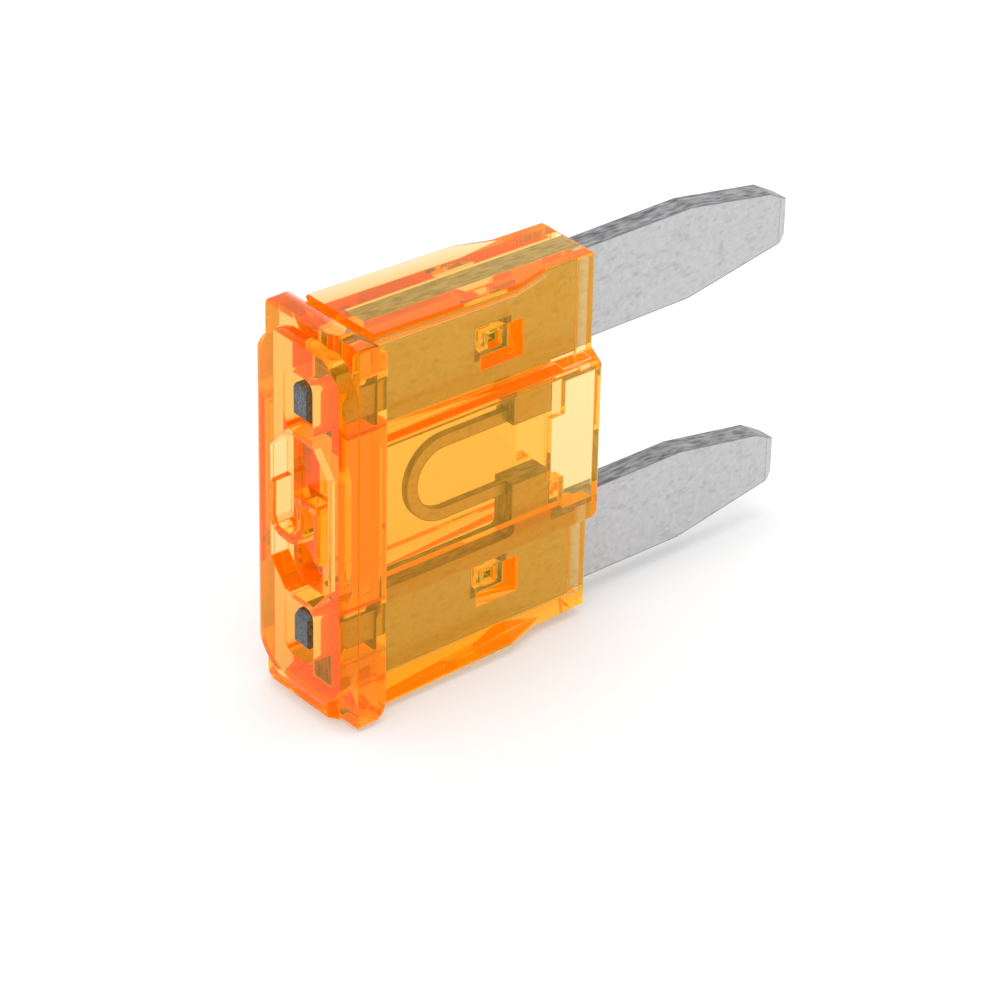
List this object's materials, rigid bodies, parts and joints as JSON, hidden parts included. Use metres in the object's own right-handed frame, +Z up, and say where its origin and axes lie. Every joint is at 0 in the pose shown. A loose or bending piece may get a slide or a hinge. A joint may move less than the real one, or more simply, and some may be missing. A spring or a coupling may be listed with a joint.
{
  "type": "automotive blade fuse",
  "caption": "Small automotive blade fuse: a clear amber plastic housing round a stamped metal conductor, with flat blades joined by a thin U-shaped fuse link.",
  "frame": {"origin": "on the surface that the fuse stands on, below the middle of its box from the boss face to the blade tips", "axes": "+X along the push-in direction, from the head to the blade tips; +Y through the thickness; +Z up, across the width from one blade to the other"},
  "size_m": [0.0164, 0.0036, 0.0114],
  "materials": {
    "amber_plastic": "clear amber polycarbonate, glossy",
    "plated_metal": "zinc alloy sheet, satin, with sheared edges"
  },
  "bodies": {
    "root": {"housing": "amber_plastic", "fuse_element": "plated_metal"}
  },
  "joints": []
}
